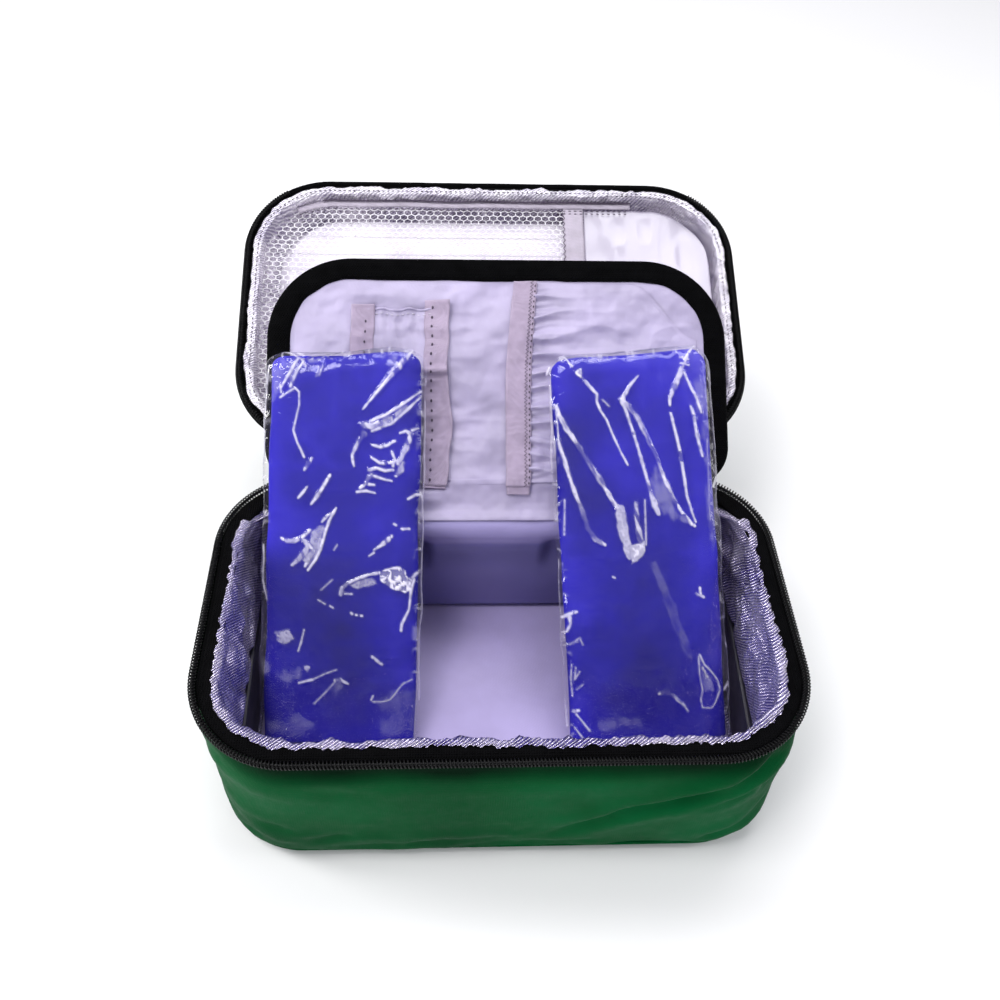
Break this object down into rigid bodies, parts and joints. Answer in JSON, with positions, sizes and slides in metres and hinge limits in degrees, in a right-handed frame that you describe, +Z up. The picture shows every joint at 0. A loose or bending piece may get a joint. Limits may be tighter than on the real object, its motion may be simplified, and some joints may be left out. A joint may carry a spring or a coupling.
{
  "type": "insulated cooling case",
  "caption": "Soft zip-round cooling case with a hinged lid, a turning fabric page, a padded tray and gel packs in clear sleeves.",
  "frame": {"origin": "centre of the base's flat underside, on the surface it stands on", "axes": "+Z up, +Y to the rear where the lid is hinged, +X to the right seen from the front"},
  "size_m": [0.23, 0.2809, 0.1338],
  "materials": {
    "green_nylon": "woven nylon, matt with a low sheen",
    "foam": "closed-cell foam, matt",
    "foil_lining": "woven metallised film, crumpled",
    "zipper_tape": "black woven tape",
    "zipper_coil": "black nylon coil",
    "lavender_satin": "satin-faced nylon",
    "grey_satin": "satin-faced nylon",
    "mauve_tape": "woven tape with stitching",
    "binding": "black grosgrain binding",
    "stiffener": "thin board",
    "pocket_mesh": "open white mesh",
    "clear_film": "clear soft film",
    "clear_sleeve": "clear crinkled film",
    "blue_gel": "glossy blue film over gel",
    "zipper_metal": "black enamel"
  },
  "bodies": {
    "root": {"base_outer_shell": "green_nylon", "base_foam": "foam", "base_foil_liner": "foil_lining", "base_zipper_tape": "zipper_tape", "base_zipper_coil": "zipper_coil", "hinge_strip_base": "green_nylon", "page_fold_strip": "lavender_satin", "tray_floor_pad": "lavender_satin", "tray_rear_wall": "lavender_satin", "tray_side_left": "grey_satin", "tray_side_right": "grey_satin"},
    "lid": {"lid_outer_shell": "green_nylon", "lid_foam": "foam", "lid_foil_liner": "foil_lining", "lid_zipper_tape": "zipper_tape", "lid_zipper_coil": "zipper_coil", "hinge_strip_lid": "green_nylon", "lid_mesh_pocket": "pocket_mesh", "lid_pocket_tape": "mauve_tape", "lid_clear_pocket": "clear_film", "lid_pocket_hem": "lavender_satin"},
    "page": {"page_board": "stiffener", "page_front_cover": "lavender_satin", "page_rear_cover": "lavender_satin", "page_binding": "binding", "page_left_pocket": "lavender_satin", "left_pocket_outer_tape": "mauve_tape", "left_pocket_inner_tape": "mauve_tape", "page_centre_tape": "mauve_tape", "page_right_pocket": "lavender_satin"},
    "pack_left_lower": {"gel_pack_left_lower": "blue_gel", "sleeve_left_lower": "clear_sleeve"},
    "pack_left_upper": {"gel_pack_left_upper": "blue_gel", "sleeve_left_upper": "clear_sleeve"},
    "slider_left": {"zipper_slider_left": "zipper_metal"},
    "pull_left": {"zipper_pull_left": "zipper_metal"},
    "pack_right_lower": {"gel_pack_right_lower": "blue_gel", "sleeve_right_lower": "clear_sleeve"},
    "pack_right_upper": {"gel_pack_right_upper": "blue_gel", "sleeve_right_upper": "clear_sleeve"},
    "slider_right": {"zipper_slider_right": "zipper_metal"},
    "pull_right": {"zipper_pull_right": "zipper_metal"}
  },
  "joints": [
    {"name": "lid_hinge", "type": "hinge", "parent": "root", "child": "lid", "pos_m": [0, 0.0743, 0.07624], "axis": [1, 0, 0], "range_deg": [0, 158.2]},
    {"name": "page_fold", "type": "hinge", "parent": "root", "child": "page", "pos_m": [0.0015, 0.0574, 0.0736], "axis": [1, 0, 0], "range_deg": [0, 145.01]},
    {"name": "pack_left_lie", "type": "hinge", "parent": "root", "child": "pack_left_lower", "pos_m": [-0.0654, -0.02741, 0.03954], "axis": [1, 0, 0], "range_deg": [-22.61, 0]},
    {"name": "pack_left_bend", "type": "hinge", "parent": "pack_left_lower", "child": "pack_left_upper", "pos_m": [-0.06381, 0.02501, 0.07036], "axis": [0.9998, -0.0159, -0.0136], "range_deg": [0, 179.31]},
    {"name": "pack_right_lie", "type": "hinge", "parent": "root", "child": "pack_right_lower", "pos_m": [0.0632, -0.02866, 0.03689], "axis": [1, 0, 0], "range_deg": [-22.31, 0]},
    {"name": "pack_right_bend", "type": "hinge", "parent": "pack_right_lower", "child": "pack_right_upper", "pos_m": [0.05935, 0.02401, 0.07031], "axis": [0.9987, 0.0386, 0.0327], "range_deg": [0, 179.31]},
    {"name": "slider_left_run", "type": "hinge", "parent": "root", "child": "slider_left", "pos_m": [-0.076, 0.03, 0.07], "axis": [0, 0, 1], "range_deg": [0, 66]},
    {"name": "pull_left_swing", "type": "hinge", "parent": "slider_left", "child": "pull_left", "pos_m": [-0.09228, 0.07029, 0.0714], "axis": [0.9272, 0.3746, 0], "range_deg": [0, 40]},
    {"name": "slider_right_run", "type": "hinge", "parent": "root", "child": "slider_right", "pos_m": [0.076, 0.03, 0.07], "axis": [0, 0, -1], "range_deg": [0, 66]},
    {"name": "pull_right_swing", "type": "hinge", "parent": "slider_right", "child": "pull_right", "pos_m": [0.09228, 0.07029, 0.0714], "axis": [0.9272, -0.3746, 0], "range_deg": [0, 40]}
  ],
  "couplings": [
    {"joint": "page_fold", "follows": "lid_hinge", "ratio": 0.91656},
    {"joint": "pack_left_lie", "follows": "lid_hinge", "ratio": -0.14286},
    {"joint": "pack_left_bend", "follows": "lid_hinge", "ratio": 1.1334},
    {"joint": "pack_right_lie", "follows": "lid_hinge", "ratio": -0.14096},
    {"joint": "pack_right_bend", "follows": "lid_hinge", "ratio": 1.1334}
  ]
}
